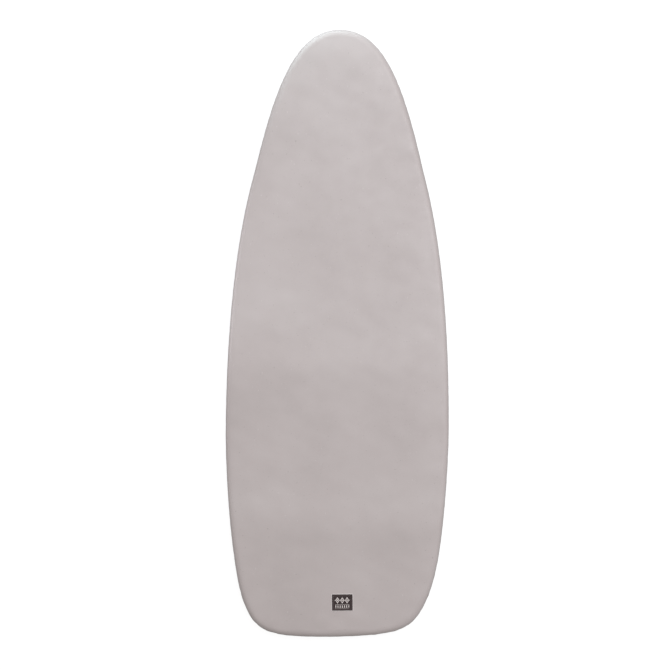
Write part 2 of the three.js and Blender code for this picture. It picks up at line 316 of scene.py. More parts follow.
def pressed(distance, y):
    # how much lower the padding lies at a distance from the roll
    more = sum(amount * smoothStep(y, *span) for amount, *span in (padding["nose"], padding["tail"]))
    near = 1 - smoothStep((distance / padding["thinnedReach"]) ** padding["thinnedPower"])
    return -(padding["thinned"] + more) * near


def bendPower(y):
    return 2 / (bend["square"] + bend["rounder"] * smoothStep(y, bend["starts"], bend["over"]))


def drawnCreases():
    random = np.random.default_rng(creases["seed"])
    total = np.zeros(stationCount)
    for _ in range(creases["count"]):
        away = np.abs(station["place"] - random.random())
        away = np.minimum(away, 1 - away) * outlineLength
        depth = random.uniform(*creases["depth"])
        total += depth * np.exp(-((away / random.uniform(*creases["width"])) ** 2))
    return total


def innerRings(ring, count, lowered=None):
    # from a flat ring towards the spine
    middle = np.zeros_like(ring)
    middle[:, 1] = np.clip(ring[:, 1], spine["tail"] * cover["length"], spine["nose"] * cover["length"])
    middle[:, 2] = ring[:, 2]
    rings = [ring + (middle - ring) * spine["reach"] * k / count for k in range(1, count + 1)]
    if lowered:
        for inner in rings:
            inner[:, 2] += lowered(np.linalg.norm(inner - ring, axis=1), ring[:, 1]) + dents(*inner[:, :2].T)
    return rings


def roundedEnds(low, high, edge, steps=5):
    # places along and how far the side is drawn in there, round both ends
    quarter = np.linspace(0, math.pi / 2, steps)
    start = [(low + edge * (1 - math.cos(a)), edge * (1 - math.sin(a))) for a in quarter]
    end = [(high - edge * (1 - math.cos(a)), edge * (1 - math.sin(a))) for a in quarter[::-1]]
    return start + end


# Faces between rings of vertices, and around them
def bandFaces(first, second, count):
    i = np.arange(count)
    j = (i + 1) % count
    return np.stack([first + i, first + j, second + j, second + i], 1).tolist()


def stackFaces(rings, count, first=0):
    starts = [first + k * count for k in range(rings)]
    return [face for low, high in zip(starts, starts[1:]) for face in bandFaces(low, high, count)]


def cappedFaces(rings, count):
    last = (rings - 1) * count
    return [*stackFaces(rings, count), list(range(count))[::-1], list(range(last, last + count))]


def bridgeFaces(first, count):
    # closes a ring across, station to its mirror
    half = count // 2
    faces = [[first, first + 1, first + count - 1]]
    for i in range(1, half - 1):
        faces.append([first + i, first + i + 1, first + count - i - 1, first + count - i])
    faces.append([first + half - 1, first + half, first + half + 1])
    return faces


def meshPiece(name, vertices, faces, uv=None, materials=(), edges=()):
    mesh = bpy.data.meshes.new(name)
    mesh.from_pydata(np.asarray(vertices, float).tolist(), edges, faces)
    if uv is not None:
        corner = np.empty(len(mesh.loops), np.int32)
        mesh.loops.foreach_get("vertex_index", corner)
        layer = mesh.uv_layers.new(name="UVMap")
        layer.data.foreach_set("uv", np.asarray(uv, np.float32)[corner].ravel())
    mesh.polygons.foreach_set("use_smooth", np.ones(len(mesh.polygons), bool))
    for material in materials:
        mesh.materials.append(material)
    mesh.update()
    piece = bpy.data.objects.new(name, mesh)
    bpy.context.collection.objects.link(piece)
    return piece


def applyModifiers(piece):
    evaluated = piece.evaluated_get(bpy.context.evaluated_depsgraph_get())
    mesh = bpy.data.meshes.new_from_object(evaluated)
    mesh.name = piece.name
    piece.modifiers.clear()
    piece.data = mesh
    return piece


def finishWith(piece, kind, **settings):
    modifier = piece.modifiers.new(kind.lower(), kind)
    for key, value in settings.items():
        setattr(modifier, key, value)
    return applyModifiers(piece)


def growFrom(piece, tree, **values):
    # the result of a geometry tree; its inputs are set by each socket's identifier
    modifier = piece.modifiers.new(tree.name, "NODES")
    modifier.node_group = tree
    for item in tree.interface.items_tree:
        if item.in_out == "INPUT" and item.name in values:
            modifier[item.identifier] = values[item.name]
    return applyModifiers(piece)


def faceOutwards(piece, mergeWithin=1e-6):
    work = bmesh.new()
    work.from_mesh(piece.data)
    bmesh.ops.remove_doubles(work, verts=work.verts, dist=mergeWithin)
    bmesh.ops.recalc_face_normals(work, faces=work.faces)
    work.to_mesh(piece.data)
    work.free()
    return piece


# Nodes of a material or of a geometry tree: sockets are linked, other values are set
def addNode(tree, kind, inputs=None, **settings):
    made = tree.nodes.new(kind)
    for key, value in settings.items():
        setattr(made, key, value)
    for key, value in (inputs or {}).items():
        if isinstance(value, bpy.types.NodeSocket):
            tree.links.new(value, made.inputs[key])
        else:
            made.inputs[key].default_value = value
    return made


def reckon(tree, operation, a, b=0.0, clamp=False):
    return addNode(tree, "ShaderNodeMath", {0: a, 1: b}, operation=operation, use_clamp=clamp).outputs[0]


def times(tree, a, b):
    return reckon(tree, "MULTIPLY", a, b)


def plus(tree, total, *values, clamp=False):
    for value in values:
        total = reckon(tree, "ADD", total, value, clamp)
    return total


def ramp(tree, value, low, high, start, end):
    inputs = {"Value": value, "From Min": low, "From Max": high, "To Min": start, "To Max": end}
    return addNode(tree, "ShaderNodeMapRange", inputs).outputs["Result"]


def noise(tree, vector, scale, detail=2.0, stretch=None, roughness=0.5):
    if stretch:
        vector = addNode(tree, "ShaderNodeMapping", {"Vector": vector, "Scale": stretch}).outputs[0]
    inputs = {"Vector": vector, "Scale": scale, "Detail": detail, "Roughness": roughness}
    return addNode(tree, "ShaderNodeTexNoise", inputs).outputs["Fac"]


def mottled(tree, vector, start, end, scale=1, detail=2, stretch=None, roughness=0.5, within=(0.3, 0.7)):
    return ramp(tree, noise(tree, vector, scale, detail, stretch, roughness), *within, start, end)


def dots(tree, vector, scale):
    return addNode(tree, "ShaderNodeTexVoronoi", {"Vector": vector, "Scale": scale}).outputs["Distance"]


def mixColour(tree, share, a, b):
    return addNode(tree, "ShaderNodeMix", {0: share, 6: a, 7: b}, data_type="RGBA").outputs[2]


def uvPlace(tree):
    return addNode(tree, "ShaderNodeUVMap", uv_map="UVMap").outputs[0]


def objectPlace(tree):
    return addNode(tree, "ShaderNodeTexCoord").outputs["Object"]


def shade(*values):
    # a colour given as it looks on screen, from 0 to 255
    linear = [((v / 255 + 0.055) / 1.055) ** 2.4 if v > 10 else v / 255 / 12.92 for v in values]
    return (*linear, 1)


def lighter(colour, amount):
    return shade(*(value + amount for value in colour))


def startMaterial(name, **sockets):
    material = bpy.data.materials.new(name)
    material.use_nodes = True
    for key, value in sockets.items():
        material.node_tree.nodes["Principled BSDF"].inputs[key.replace("_", " ")].default_value = value
    return material, material.node_tree


def finishMaterial(material, height, colour, roughness=None, strength=0.5, distance=0.0001):
    tree = material.node_tree
    shader = tree.nodes["Principled BSDF"]
    bump = addNode(tree, "ShaderNodeBump", {"Height": height, "Strength": strength, "Distance": distance})
    tree.links.new(bump.outputs[0], shader.inputs["Normal"])
    tree.links.new(colour, shader.inputs["Base Color"])
    if roughness is not None:
        tree.links.new(roughness, shader.inputs["Roughness"])
    return material


def weaveHeight(tree, uv, pitch, crossing=0.12):
    # a plain weave: threads one way pass over and under those the other way
    split = addNode(tree, "ShaderNodeSeparateXYZ", {0: uv})
    s, t = (reckon(tree, "SINE", times(tree, split.outputs[k], math.pi / pitch)) for k in (0, 1))
    over = ramp(tree, times(tree, s, t), -crossing, crossing, 0.0, 1.0)
    first = times(tree, reckon(tree, "ABSOLUTE", s), over)
    second = times(tree, reckon(tree, "ABSOLUTE", t), reckon(tree, "SUBTRACT", 1.0, over))
    return plus(tree, first, second)


def grainyMaterial(name, colours, grain, gloss=None, strength=0.5, distance=0.0001, **sockets):
    # a fine grain that shows in colour and height, and in roughness where gloss gives its span
    material, tree = startMaterial(name, **sockets)
    grain = noise(tree, objectPlace(tree), *grain)
    paint = mixColour(tree, grain, *colours)
    roughness = ramp(tree, grain, 0.3, 0.7, *gloss) if gloss else None
    return finishMaterial(material, grain, paint, roughness, strength, distance)


# Face cloth: metallised cotton, warm grey, with fine threads, slubs, soft clouding and soft bands of painted
# light and shade
clothLook = dict(
    colour=(183, 174, 172),
    lighter=(205, 199, 197),
    darker=(143, 135, 132),
    metallic=0.18,
    roughness=(0.51, 0.61),
    threadPitch=0.00045,
    unevenThreads=0.6,
    # slubs: how drawn out and which tone
    slubs=(((420, 130, 1), "lighter"), ((500, 150, 1), "darker"), ((140, 480, 1), "darker")),
    slubRarity=(0.74, 0.79),
    slubShare=0.6,
    cloudAndShadeShare=0.045,
    # clouds and patches: darkest and lightest tone, detail, how drawn out, and roughness
    clouds=((-2.1, 2.5, 1, (6, 4, 1), 0.5), (-1.1, 1.1, 5, (21, 23, 1), 0.62)),
    # painted light and shade: soft bands across, lighter or darker where light falls unevenly on the folded
    # padding: place along the cover, reach and tone
    paintedShadeBands=((0.04, 0.075, 3.0), (-0.16, 0.055, -1.6), (-0.34, 0.032, 2.7)),
)
clothShape = dict(topRollSteps=9, sideSteps=2, bottomRollSteps=6, returnSteps=11, faceRings=22, coarse=4)


def faceMaterial():
    look = clothLook
    sockets = dict(Metallic=look["metallic"], Sheen_Weight=0.12, Sheen_Roughness=0.5)
    material, tree = startMaterial("metallised_cotton", **sockets)
    uv = uvPlace(tree)
    cloudAndShadeTones = [mottled(tree, uv, low, high, 1, *rest) for low, high, *rest in look["clouds"]]
    along = addNode(tree, "ShaderNodeSeparateXYZ", {0: uv}).outputs[1]
    # painted light and shade: soft bands across the cover, lighter or darker, added to the clouds
    for place, reach, tone in look["paintedShadeBands"]:
        away = reckon(tree, "DIVIDE", reckon(tree, "SUBTRACT", along, place), reach)
        paintedShadeBand = reckon(tree, "EXPONENT", times(tree, times(tree, away, away), -1.0))
        cloudAndShadeTones.append(times(tree, paintedShadeBand, tone))
    # the random clouds and the painted light and shade of the bands together make the cloth lighter or darker
    cloudsAndPaintedShade = times(tree, plus(tree, *cloudAndShadeTones), look["cloudAndShadeShare"])
    paint = shade(*look["colour"])
    for sign, tone in ((1.0, "lighter"), (-1.0, "darker")):
        share = reckon(tree, "MAXIMUM", times(tree, cloudsAndPaintedShade, sign), 0.0)
        paint = mixColour(tree, share, paint, shade(*look[tone]))
    marks = []
    for stretch, tone in look["slubs"]:
        marks.append(mottled(tree, uv, 0.0, look["slubShare"], 1, 1, stretch, within=look["slubRarity"]))
        paint = mixColour(tree, marks[-1], paint, shade(*look[tone]))
    uneven = times(tree, noise(tree, uv, 700), look["unevenThreads"])
    height = plus(tree, weaveHeight(tree, uv, look["threadPitch"]), uneven, *marks)
    roughness = mottled(tree, uv, *look["roughness"], 35)
    return finishMaterial(material, height, paint, roughness, strength=0.2, distance=0.00005)


def liningMaterial():
    # the uncoated back of the face cloth
    material, tree = startMaterial("cotton_back", Roughness=0.9)
    uv = uvPlace(tree)
    paint = mixColour(tree, noise(tree, uv, 220, 3), shade(226, 221, 211), shade(241, 238, 231))
    threads = weaveHeight(tree, uv, clothLook["threadPitch"])
    return finishMaterial(material, threads, paint, strength=0.4, distance=0.00008)


def clothSections():
    # inset, height and developed length outwards from the flat face, hem first
    roll, under, bottom = cover["topRoll"], cover["bottomRoll"], cover["hemBottom"]
    side = cover["top"] - roll - bottom - under
    quarter = math.pi / 2
    down = quarter * roll + side
    sections = []
    for inset in np.linspace(cover["hemTurn"], under, clothShape["returnSteps"], endpoint=False):
        sections.append((inset, bottom, down + quarter * under + inset - under))
    for a in np.linspace(0, quarter, clothShape["bottomRollSteps"], endpoint=False):
        inset, height = under - under * math.sin(a), bottom + under - under * math.cos(a)
        sections.append((inset, height, down + (quarter - a) * under))
    for share in np.linspace(0, 1, clothShape["sideSteps"], endpoint=False):
        sections.append((0, bottom + under + side * share, down - side * share))
    for a in np.linspace(0, quarter, clothShape["topRollSteps"] + 1):
        inset, height = roll - roll * math.cos(a), cover["top"] - roll + roll * math.sin(a)
        sections.append((inset, height, (quarter - a) * roll))
    return sections


def clothRing(inset, height, outwards, pucker):
    # gathered under the board, dented over the lower roll and bent over the upper one
    roll, under, bottom = cover["topRoll"], cover["bottomRoll"], cover["hemBottom"]
    ring = ringAt(inset, height)
    if height < cover["top"] / 2 and inset >= under:
        ring[:, 2] += foldHeight(inset)
    elif height < bottom + under:
        upTheRoll = (height - bottom) / under
        dent = rimDent(1 - smoothStep(upTheRoll))
        ring[:, :2] += station["inward"] * (dent * (under - inset) / under)[:, None]
        ring[:, 2] += dent * (1 - upTheRoll)
    if outwards < math.pi / 2 * roll:
        y, angle = station["point"][:, 1], math.pi / 2 - outwards / roll
        drawn, up = (np.maximum(way(angle), 0) ** bendPower(y) for way in (math.cos, math.sin))
        ring = ringAt(roll - roll * drawn, cover["top"] - roll + roll * up)
        ring[:, 2] += pressed(0, y) * up
    low = smoothStep(cover["top"] - height, 0, cover["top"] - bottom - under)
    ring[:, :2] += station["inward"] * (pucker * low)[:, None]
    return ring


def makeFaceCloth():
    folds = np.minimum(station["swing"] / creases["puckerSwing"], creases["mostPucker"])
    pucker = varied("pucker", station["place"]) * folds + drawnCreases()
    sections = clothSections()
    rings = [clothRing(*section, pucker) for section in sections]
    uvRings = [station["point"] + station["inward"] * (cover["topRoll"] - section[2]) for section in sections]
    for ring, share in ((rings[-1], 1), (rings[-2], 0.5)):
        ring[:, 2] += share * dents(*ring[:, :2].T)

    coarse, faceRings = clothShape["coarse"], clothShape["faceRings"]
    few = stationCount // coarse
    first = len(rings) * stationCount
    faces = stackFaces(len(rings), stationCount)
    for i in range(few):  # each step of the face's rings meets several stations
        corners = [first - stationCount + (i * coarse + k) % stationCount for k in range(coarse + 1)]
        faces.append([*corners, first + (i + 1) % few, first + i])
    faces += stackFaces(faceRings, few, first)
    faces += bridgeFaces(first + (faceRings - 1) * few, few)
    edge = rings[-1][::coarse].copy()
    edge[:, 2] = cover["top"]
    inner = innerRings(edge, faceRings, pressed)
    vertices = swayed(np.concatenate(rings + inner))
    uv = np.concatenate(uvRings + [ring[:, :2] for ring in inner])
    cloth = meshPiece("face_cloth_skin", vertices, faces, uv, (faceMaterial(), liningMaterial()))
    return finishWith(cloth, "SOLIDIFY", thickness=cover["cloth"], offset=-1, material_offset=1)


faceSkin = makeFaceCloth()
print("face cloth made:", len(faceSkin.data.polygons), "faces")

# Foam layer and felt underlay: flat pads whose edges follow the roll of the cloth
foamPad = dict(
    node="foam_layer",
    round=0.0009,
    colour=(233, 224, 200),
    deeper=(205, 192, 160),
    # the foam's top follows the pressed face, a little lower and starting a little later
    followsFace=True,
    settled=0.0002,
    lead=0.006,
)
feltPad = dict(
    node="felt_underlay",
    round=0.0005,
    colour=(214, 210, 203),
    deeper=(176, 171, 164),
    fleck=(120, 128, 140),
    followsFace=False,
    settled=0.0,
    # its underside is a little uneven: least, amount, wavelength and seed
    underside=(0.0001, 0.00008, 0.05, 41),
)
padShape = dict(edgeGap=0.0005, faceRings=20, mostRagged=0.00016)


def foamMaterial():
    material, tree = startMaterial("soft_foam", Roughness=0.95)
    cells = dots(tree, objectPlace(tree), 900)
    share = ramp(tree, cells, 0.1, 0.6, 0.0, 0.7)
    paint = mixColour(tree, share, shade(*foamPad["colour"]), shade(*foamPad["deeper"]))
    return finishMaterial(material, cells, paint, strength=0.6, distance=0.0003)


def feltMaterial():
    # fibres lie every way: three sheaves of streaks, needled through at many points
    material, tree = startMaterial("needled_felt", Roughness=1.0, Sheen_Weight=0.3, Sheen_Roughness=0.6)
    place = objectPlace(tree)
    sheaves = []
    for turn in (10, 68, 131):
        inputs = {"Vector": place, "Rotation": (0, 0, math.radians(turn))}
        turned = addNode(tree, "ShaderNodeMapping", inputs).outputs[0]
        sheaves.append(noise(tree, turned, 1, 3, (230, 1100, 400), 0.6))
    tangled = plus(tree, *sheaves)
    patches = mottled(tree, place, -0.12, 0.12, 14, 3)
    share = plus(tree, ramp(tree, tangled, 1.15, 1.85, 0.0, 1.0), patches, clamp=True)
    paint = mixColour(tree, share, shade(*feltPad["deeper"]), shade(*feltPad["colour"]))
    flecks = mottled(tree, place, 0.0, 0.5, 1, 1, (190, 1500, 150), within=(0.72, 0.76))
    paint = mixColour(tree, flecks, paint, shade(*feltPad["fleck"]))
    height = plus(tree, tangled, ramp(tree, dots(tree, place, 300), 0.0, 0.35, 0.0, 0.9))
    return finishMaterial(material, height, paint, strength=0.7, distance=0.0004)


def wallInset(height):
    # where the bent cloth's inner side stands at a height
    y = station["point"][:, 1]
    inner = cover["topRoll"] - cover["cloth"]
    above = np.clip((height - cover["top"] + cover["topRoll"]) / (inner + pressed(0, y)), 0, 1)
    return cover["topRoll"] - inner * np.sqrt(1 - above ** (2 / bendPower(y))) ** bendPower(y)


def makePad(pad, name, material):
    low, high = (corner.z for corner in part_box(pad["node"]))
    high -= pad["settled"]
    every, faceRings = clothShape["coarse"], padShape["faceRings"]
    ragged = np.minimum(varied("pad", station["place"]), padShape["mostRagged"])
    lowered = pad["followsFace"] * pressed(0, station["point"][:, 1])
    rings = []
    for height, inset in roundedEnds(low, high, pad["round"]):
        height = height + (height - low) / (high - low) * lowered
        rings.append(ringAt(wallInset(height) + padShape["edgeGap"] + inset - ragged, height, every))
    bottom = innerRings(rings[0], faceRings)
    if pad["followsFace"]:
        edge = rings[-1].copy()
        edge[:, 2] = high
        top = innerRings(edge, faceRings, lambda away, y: pressed(np.maximum(away - pad["lead"], 0), y))
    else:
        top = innerRings(rings[-1], faceRings)
        least, amount, wavelength, seed = pad["underside"]
        for ring in bottom:
            ring[:, 2] -= least + amount * softNoise(*ring[:, :2].T, wavelength, seed)
    rings = bottom[::-1] + rings + top
    count = len(rings[0])
    faces = stackFaces(len(rings), count) + bridgeFaces((len(rings) - 1) * count, count)
    faces += [face[::-1] for face in bridgeFaces(0, count)]
    vertices = np.concatenate(rings)
    return meshPiece(name, swayed(vertices), faces, vertices[:, :2], (material,))


foam = makePad(foamPad, "foam_pad", foamMaterial())
felt = makePad(feltPad, "felt_pad", feltMaterial())
print("pads made")

# Hem binding: a tape folded over the cloth's cut edge, ruched by the cord in its fold
binding = dict(
    overlap=0.006,
    flat=0.0025,
    slope=0.0012,
    mouth=0.040,
    tape=0.0007,
    gap=0.0003,
    cordGap=0.0003,
    cordDiameter=0.0028,
    foldSteps=9,
    swell=0.24,
    swellPhase=1.2,
    swellStarts=0.0535,
    swellOver=0.002,
    cutEdge=0.0002,
    ribPitch=0.0011,
    threadPitch=0.0005,
    # the tape's colour, and a darker tone for its random mottling and for painted shade in its grooves
    colour=(152, 145, 142),
    deeper=(112, 105, 102),
)
tunnelInner = binding["cordDiameter"] / 2 + binding["cordGap"]
tunnelOuter = tunnelInner + binding["tape"]
cordInset = cover["hemTurn"] + binding["gap"] + tunnelInner


def boundStations():
    # from the binding's right-hand end at the tail, round the nose, to its left-hand end
    across = (station["point"] + station["inward"] * cordInset)[: stationCount // 2, 0]
    first = int(np.argmax(across >= binding["mouth"] / 2))
    return np.arange(first, stationCount - first + 1)


bound = boundStations()


def tapeMaterial():
    material, tree = startMaterial("binding_tape", Roughness=0.82, Sheen_Weight=0.15)
    uv = uvPlace(tree)
    split = addNode(tree, "ShaderNodeSeparateXYZ", {0: uv})
    rib = reckon(tree, "SINE", times(tree, split.outputs[0], 2 * math.pi / binding["ribPitch"]))
    height = plus(tree, times(tree, rib, 0.5), weaveHeight(tree, uv, binding["threadPitch"]))
    # painted shade: the tape is coloured darker in the grooves between its ribs and threads
    shadedGrooves = ramp(tree, height, -0.4, 1.4, 0.6, 0.0)
    share = plus(tree, mottled(tree, uv, 0.0, 0.25, 90), shadedGrooves, clamp=True)
    paint = mixColour(tree, share, shade(*binding["colour"]), shade(*binding["deeper"]))
    return finishMaterial(material, height, paint, strength=0.5, distance=0.00014)


def tapeSection():
    # inset and height above the cord's line: the outer side of the tape, then back along its inner side
    edge = cover["hemTurn"] - binding["overlap"]
    flatStart = cordInset - binding["flat"]
    slopeStart = flatStart - binding["slope"]
    plyInner = cover["cloth"] / 2 + binding["gap"]
    plyOuter = plyInner + binding["tape"]

    def side(ply, radius, sign):
        plies = [(inset, sign * ply) for inset in (edge, (edge + slopeStart) / 2, slopeStart)]
        return [*plies, (flatStart, sign * radius)]

    def fold(radius):
        angles = np.linspace(-math.pi / 2, math.pi / 2, binding["foldSteps"])
        return [(cordInset + radius * math.cos(a), radius * math.sin(a)) for a in angles]

    outer = side(plyOuter, tunnelOuter, -1) + fold(tunnelOuter) + side(plyOuter, tunnelOuter, 1)[::-1]
    inner = side(plyInner, tunnelInner, 1) + fold(tunnelInner)[::-1] + side(plyInner, tunnelInner, -1)[::-1]
    for k in (0, -1):  # the cut edges of the tape are rounded, not square
        outer[k] = (outer[k][0] + binding["cutEdge"], outer[k][1])
    return outer + inner


def tapePoint(inset, height):
    # a point of the tape's section at every station: it follows the folds and swells round the cord
    swelling = binding["swell"] * (0.5 + 0.5 * np.cos(station["phase"] + binding["swellPhase"]))
    swelling *= smoothStep(inset, binding["swellStarts"], binding["swellOver"])
    ring = ringAt(cordInset + (inset - cordInset) * (1 + swelling), 0)
    line = cordInset if inset > binding["swellStarts"] else inset
    ring[:, 2] = hemHeight + foldHeight(line) + height * (1 + swelling)
    return ring


def makeBinding():
    section = tapeSection()
    rows = np.stack([tapePoint(*point)[bound] for point in section], 1)
    middleOfFold = (len(section) // 2 - 1) // 2
    uv = np.meshgrid(lengthAlong(rows[:, middleOfFold]), lengthAlong(section), indexing="ij")
    uv = np.stack(uv, 2).reshape(-1, 2)
    faces = cappedFaces(len(bound), len(section))
    return faceOutwards(meshPiece("binding_tape", swayed(rows.reshape(-1, 3)), faces, uv, (tapeMaterial(),)))


bindingTape = makeBinding()
print("binding made")


# Round cords: a tube swept along points, with domed ends
def sweepTube(path, radius, sides, relief=None, domes=3):
    ahead = np.gradient(path, axis=0)
    ahead /= np.linalg.norm(ahead, axis=1)[:, None]
    over = np.cross(ahead[0], (1, 0, 0))
    over = over / np.linalg.norm(over) if np.linalg.norm(over) > 0.1 else np.array([0.0, 0.0, 1.0])
    overs = []
    for direction in ahead:  # carried along without twisting
        over = over - direction * np.dot(over, direction)
        over /= np.linalg.norm(over)
        overs.append(over)
    besides = np.cross(ahead, overs)
    along = lengthAlong(path)
    angle = 2 * math.pi * np.arange(sides) / sides
    rings, uvRings = [], []
    for k in range(len(path)):
        size = radius if relief is None else radius + relief(along[k], angle)
        spoke = np.outer(np.cos(angle) * size, overs[k]) + np.outer(np.sin(angle) * size, besides[k])
        rings.append(path[k] + spoke)
        uvRings.append(np.stack([angle * radius, np.full(sides, along[k])], 1))
    for end, direction in ((0, -1), (-1, 1)):
        base, baseUv = rings[end], uvRings[end]
        for k in range(1, domes + 1):
            a = math.pi / 2 * k / (domes + 0.4)  # the last ring stops short of the tip
            centre = path[end] + ahead[end] * direction * radius * math.sin(a)
            at = 0 if direction < 0 else len(rings)
            rings.insert(at, centre + (base - path[end]) * math.cos(a))
            uvRings.insert(at, baseUv)
    return np.concatenate(rings), cappedFaces(len(rings), sides), np.concatenate(uvRings)


def joinParts(parts):
    vertices, faces, uv, offset = [], [], [], 0
    for v, f, t in parts:
        vertices.append(v)
        uv.append(t)
        faces += [[offset + i for i in face] for face in f]
        offset += len(v)
    return np.concatenate(vertices), faces, np.concatenate(uv)


def evenPath(points, spacing):
    along = lengthAlong(points)
    wanted = np.linspace(0, along[-1], max(2, round(along[-1] / spacing) + 1))
    return np.stack([np.interp(wanted, along, column) for column in np.asarray(points).T], 1)


def smoothPath(points, perSpan=14):
    # a Catmull-Rom curve through the points
    points = np.asarray(points, float)
    padded = np.concatenate([[2 * points[0] - points[1]], points, [2 * points[-1] - points[-2]]])
    t = np.linspace(0, 1, perSpan, endpoint=False)[:, None]
    spans = []
    for a, b, c, d in zip(padded, padded[1:], padded[2:], padded[3:]):
        bent = (2 * a - 5 * b + 4 * c - d) * t**2 + (3 * b - a - 3 * c + d) * t**3
        spans.append(0.5 * (2 * b + (c - a) * t + bent))
    return np.concatenate([*spans, points[-1:]])


# Draw cord: braided, round the hem, out at the tail, through the lock and into the knot
cordLook = dict(
    radius=0.97 * binding["cordDiameter"] / 2,
    sides=32,
    step=0.00036,
    hemSides=12,
    hemEvery=3,
    braidPitch=0.0044,
    braidPairs=3,
    relief=0.00016,
    threadPower=0.6,
    sunk=0.75,
    bend=0.015,
    bendHandles=(0.8, 0.6),
    bendSteps=30,
    colour=(238, 236, 231),
    deeper=(196, 192, 184),
)


def braid(along, angle):
    turn, rise = cordLook["braidPairs"] * angle, 2 * math.pi * along / cordLook["braidPitch"]
    one, other = np.sin(turn + rise), np.sin(turn - rise)
    s, t = np.abs(one), np.abs(other)
    power = cordLook["threadPower"]
    raised = np.where(one * other > 0, s**power * (0.5 + 0.5 * t), t**power * (0.5 + 0.5 * s))
    return cordLook["relief"] * (raised - cordLook["sunk"])


def cordMaterial():
    material, tree = startMaterial("braided_cord", Roughness=0.7, Sheen_Weight=0.2)
    uv = uvPlace(tree)
    fibre = noise(tree, uv, 1, 2, (5200, 900, 1))
    soiled = mottled(tree, uv, 0.0, 0.5, 300, within=(0.4, 0.7))
    share = plus(tree, ramp(tree, fibre, 0.3, 0.7, 0.0, 0.5), soiled, clamp=True)
    paint = mixColour(tree, share, shade(*cordLook["colour"]), shade(*cordLook["deeper"]))
    return finishMaterial(material, fibre, paint, strength=0.5, distance=0.0001)


knotLow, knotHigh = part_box("cord_knot")
lockLow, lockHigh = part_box("cord_lock_body")
strandHeight = (knotLow.z + knotHigh.z) / 2
strandOffset = (binding["cordDiameter"] + binding["cordGap"]) / 2
# The knot: each strand comes in at the core, winds once round both and leaves through the core.
# Windings are radius and place along the cover from the knot's middle in millimetres, and turn in degrees.
knot = dict(
    length=0.011,
    windings=(
        (1.4, -4.6, 0),
        (1.5, 0.6, 15),
        (3.2, 3.6, 75),
        (4.0, 3.4, 130),
        (4.1, 2.3, 200),
        (4.1, 0.9, 270),
        (4.1, -0.5, 340),
        (4.0, -1.9, 410),
        (3.1, -3.0, 465),
        (1.6, -1.6, 510),
        (1.4, 4.6, 540),
    ),
    millimetre=0.001,
    core=2,
    flattened=0.78,
    strandShift=1.4,
    routeStep=0.0008,
    # where the strands start before the lock and come up to the knot
    starts=0.004,
    approaches=0.0015,
    # their ends, apart sideways, on from the knot, and upwards
    ends=((0.0018, 0.0015, 0), (0.0026, 0.0050, -0.001)),
    tip=(0.0036, -0.0022),
)
easing = dict(rounds=70, push=0.5, smooth=0.12, heldEnds=4, neighbours=1.7)


def knotPath(side):
    middle = np.array([0, knotLow.y + knot["length"] / 2, strandHeight])
    points = []
    for radius, along, turn in knot["windings"]:
        angle = math.radians(turn + (0 if side > 0 else 180))
        shift = knot["strandShift"] * side * (radius > knot["core"])
        place = (radius * math.cos(angle), along + shift, radius * math.sin(angle) * knot["flattened"])
        points.append(middle + np.array(place) * knot["millimetre"])
    return points


def strandRoute(side):
    # from before the lock, through it and the knot, to the strand's free end
    knotEnd = knotLow.y + knot["length"]
    start, approach = lockLow.y - knot["starts"], knotLow.y - knot["approaches"]
    points = [(side * strandOffset, y, strandHeight) for y in (start, (start + approach) / 2, approach)]
    points += knotPath(side)
    points += [(-side * x, knotEnd + y, strandHeight + z) for x, y, z in knot["ends"]]
    apart, up = knot["tip"]
    points.append((-side * apart, knotHigh.y - binding["cordDiameter"] / 2, strandHeight + up))
    return evenPath(smoothPath(points), knot["routeStep"])


def easeApart(paths, thickness):
    # strands that lie nearer than one thickness push each other apart, and stay smooth
    counts = [len(path) for path in paths]
    points = np.concatenate(paths)
    owner = np.repeat(np.arange(len(paths)), counts)
    order = np.concatenate([np.arange(count) for count in counts])
    steps = np.abs(order[:, None] - order) * knot["routeStep"]
    neighbours = (owner[:, None] == owner) & (steps < easing["neighbours"] * thickness)
    free = (order >= easing["heldEnds"]) & (order < np.array(counts)[owner] - easing["heldEnds"])
    lowest = knotLow.z + thickness / 2
    for _ in range(easing["rounds"]):
        apart = points[:, None] - points
        distance = np.linalg.norm(apart, axis=2) + 1e-9
        overlap = np.where(neighbours, 0, np.clip(thickness - distance, 0, None))
        push = (apart * (overlap / distance)[..., None]).sum(1) / np.maximum((overlap > 0).sum(1), 1)[:, None]
        points[free] += easing["push"] * push[free]
        middles = (np.roll(points, 1, 0) + np.roll(points, -1, 0)) / 2
        points[free] += easing["smooth"] * (middles - points)[free]
        points[:, 2] = np.clip(points[:, 2], lowest, 2 * strandHeight - lowest)
    return np.split(points, np.cumsum(counts)[:-1])


def makeCord():
    radius, reach = cordLook["radius"], cordLook["bend"]
    near, far = cordLook["bendHandles"]
    ring = swayed(ringAt(cordInset, hemHeight + foldHeight(cordInset)))[bound]
    print("cord in the hem:", round(lengthAlong(ring)[-1], 3), "m")
    parts = [sweepTube(ring[:: cordLook["hemEvery"]], radius, cordLook["hemSides"])]
    routes = easeApart([strandRoute(side) for side in (1, -1)], binding["cordDiameter"])
    for (leaving, before), route in zip(((ring[0], ring[4]), (ring[-1], ring[-5])), routes):
        out = (leaving - before) / np.linalg.norm(leaving - before)
        t = np.linspace(0, 1, cordLook["bendSteps"])[:, None]
        handles = leaving + out * reach * near, route[0] - (0, reach * far, 0)
        turning = bezier(t, leaving - out * knot["starts"], *handles, route[0])
        path = evenPath(np.concatenate([turning[:-1], smoothPath(route, 3)]), cordLook["step"])
        parts.append(sweepTube(path, radius, cordLook["sides"], braid))
        print("free strand:", round(len(path) * cordLook["step"], 3), "m")
    vertices, faces, uv = joinParts(parts)
    return meshPiece("braided_cord", vertices, faces, uv, (cordMaterial(),))


cord = makeCord()
print("cord made:", len(cord.data.polygons), "faces")

